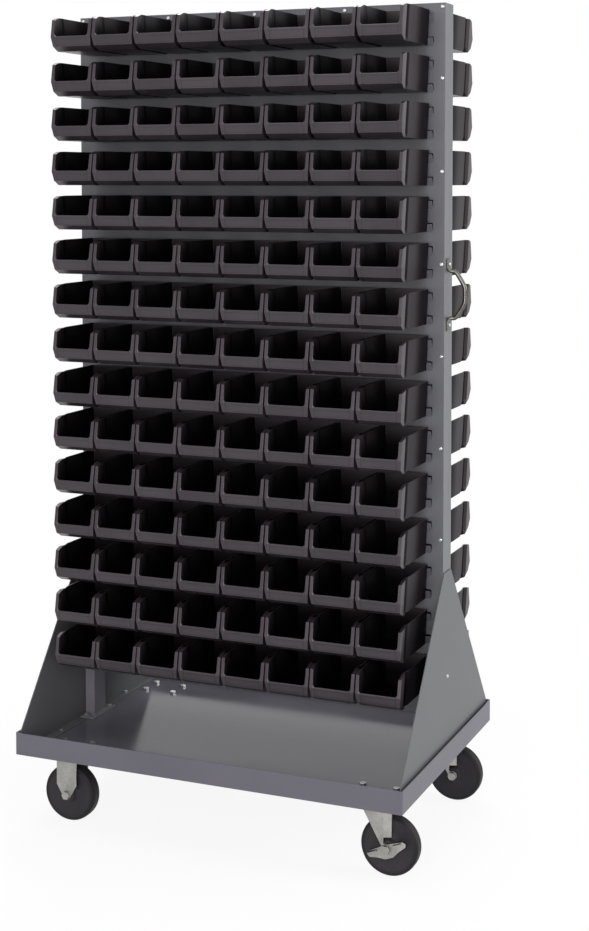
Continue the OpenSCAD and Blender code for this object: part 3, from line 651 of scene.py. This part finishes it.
def painted_side_shade(tree, forward):
    """How much painted shade a bin's side gets, darkening and dulling it: more towards the panel, and in
    the groove behind the flange.
    """
    shade_from, shade_fullest_at = 95.0, 30.0
    groove_middle, groove_half = 135.5, 12.5
    toward_panel = ramp(tree, forward, shade_from * MM, shade_fullest_at * MM, 0.57, 0.92)
    in_groove = times(tree, line_near(tree, forward, groove_middle, groove_half), 0.92)
    return larger(tree, toward_panel, in_groove)


def bin_plastic(name):
    """Moulded black plastic: a warm charcoal that varies from bin to bin, with painted shade inside the
    tub.

    The sides get painted shade, darker and less glossy towards the panel and in the groove behind the
    flange.
    Grooves frame a label field on the lip, with painted shade in them. Both follow the place within the bin
    that its points keep: across, forward and up.
    """
    material, tree = new_finish(name)
    parts = add(tree, "ShaderNodeSeparateXYZ", {0: attribute(tree, "bin_place", "Vector")}).outputs
    across, forward, up = math_of(tree, "ABSOLUTE", parts["X"]), parts["Y"], parts["Z"]
    grain = effect(tree, "grain", Fine=1300.0, Slow=9.0)
    edge = effect(tree, "edge_wear", Radius=0.0012, Breakup=70.0, Amount=0.5)
    scuff = effect(tree, "scuffs", Scale=18.0, Amount=0.3)
    settled = effect(tree, "dust", Amount=0.06, Scale=12.0)
    side = times(tree, looks_along(tree, "X", 0.55, 0.85), before(tree, forward, FLANGE_ROOT_Y, 2.0))
    side_painted_shade = times(tree, side, painted_side_shade(tree, forward))
    inside_shade = ramp(tree, attribute(tree, "bin_inside", "Fac"), 0.25, 0.85)
    groove = label_grooves(tree, across, forward, up)
    tone = times(tree, grain["Tone"], 0.5)
    tone = math_of(tree, "MULTIPLY_ADD", attribute(tree, "bin_batch", "Fac"), 0.5, tone)
    colour = blend(tree, tone, (0.0136, 0.0104, 0.0125, 1), (0.0302, 0.0246, 0.0282, 1))
    colour = blend(tree, scuff["Mask"], colour, (0.060, 0.055, 0.058, 1))
    colour = blend(tree, edge["Mask"], colour, (0.085, 0.077, 0.082, 1))
    colour = blend(tree, settled["Mask"], colour, (0.12, 0.115, 0.115, 1))
    # Painted shade on the bin's sides, towards the panel and in the groove behind the flange.
    colour = blend(tree, side_painted_shade, colour, (0.0035, 0.0028, 0.0034, 1))
    # Painted shade inside the tub, darkest towards its floor.
    colour = blend(tree, inside_shade, colour, (0.0030, 0.0026, 0.0029, 1))
    # Painted shade in the label grooves, which the bump also presses in.
    colour = blend(tree, times(tree, groove, 0.75), colour, (0.004, 0.0033, 0.004, 1))
    roughness = ramp(tree, tone, 0.0, 1.0, 0.28, 0.40)
    roughness = math_of(tree, "MULTIPLY_ADD", side, 0.14, roughness)
    # Less shine under the painted shade of the sides and inside the tub.
    shine = ramp(tree, larger(tree, side_painted_shade, times(tree, inside_shade, 0.8)), 0.0, 0.9, 0.5, 0.03)
    height = math_of(tree, "MULTIPLY_ADD", groove, -6.0, grain["Height"])
    bump = add(tree, "ShaderNodeBump", {
        "Height": height, "Strength": 0.25, "Distance": 0.0002, "Normal": edge["Normal"]})
    close_finish(tree, {
        "Base Color": colour, "Roughness": roughness, "Normal": bump.outputs[0], "IOR": 1.52,
        "Specular IOR Level": shine, "Specular Tint": (1.0, 0.94, 0.975, 1)})
    return material


def finish_solids(names, material):
    """Gives solids that keep their shape their finish."""
    for name in names:
        for slot in frame["nodes"][name].material_slots:
            slot.material = material


# The rack, put together

stand_camera()
light_studio()
lay_floor()

tray_enamel = enamelled_steel(
    "tray_enamel", dark=(0.095, 0.092, 0.113, 1), light=(0.107, 0.104, 0.125, 1),
    worn=(0.17, 0.165, 0.195, 1), rough=0.34, level_rough=0.15, shine=0.26)
panel_enamel = enamelled_steel(
    "panel_enamel", dark=(0.091, 0.094, 0.102, 1), light=(0.105, 0.108, 0.116, 1),
    worn=(0.20, 0.205, 0.21, 1), rough=0.34, level_rough=0.34, shine=0.45)
end_enamel = enamelled_steel(
    "end_enamel", dark=(0.096, 0.099, 0.102, 1), light=(0.110, 0.113, 0.116, 1),
    worn=(0.22, 0.22, 0.22, 1), rough=0.42, level_rough=0.42, shine=0.25)
post_enamel = enamelled_steel(
    "post_enamel", dark=(0.140, 0.138, 0.150, 1), light=(0.156, 0.154, 0.166, 1),
    worn=(0.22, 0.22, 0.23, 1), rough=0.36, level_rough=0.36, shine=0.4)
caster_zinc = zinc_plate(
    "caster_zinc", dark=(0.25, 0.25, 0.238, 1), light=(0.37, 0.37, 0.352, 1), rough=0.40)
bolt_zinc = zinc_plate("bolt_zinc", dark=(0.50, 0.50, 0.50, 1), light=(0.66, 0.66, 0.66, 1), rough=0.26)
handle_steel = zinc_plate(
    "handle_steel", dark=(0.075, 0.073, 0.062, 1), light=(0.16, 0.156, 0.142, 1), rough=0.24)

finish_solids(["base_tray"], tray_enamel)
finish_solids(["panel_front", "panel_rear"], panel_enamel)
finish_solids(["end_panel_left", "end_panel_right"], end_enamel)
finish_solids(["post_left", "post_right", "top_rail", "bottom_rail"], post_enamel)
finish_solids(["panel_screws", "end_screws", "frame_bolts", "caster_bolts"], bolt_zinc)
finish_solids([
    "rigid_forks", "rigid_axles", "swivel_plates", "king_pins", "swivel_fork_front", "swivel_fork_rear",
    "swivel_axle_front", "swivel_axle_rear", "brake_lever_front", "brake_lever_rear"], caster_zinc)

hang_bins(bin_plastic("black_plastic"))
push_handle(handle_steel)
set_wheels(wheel_tread("charcoal_wheel"))

bpy.context.scene.view_settings.view_transform = "Standard"
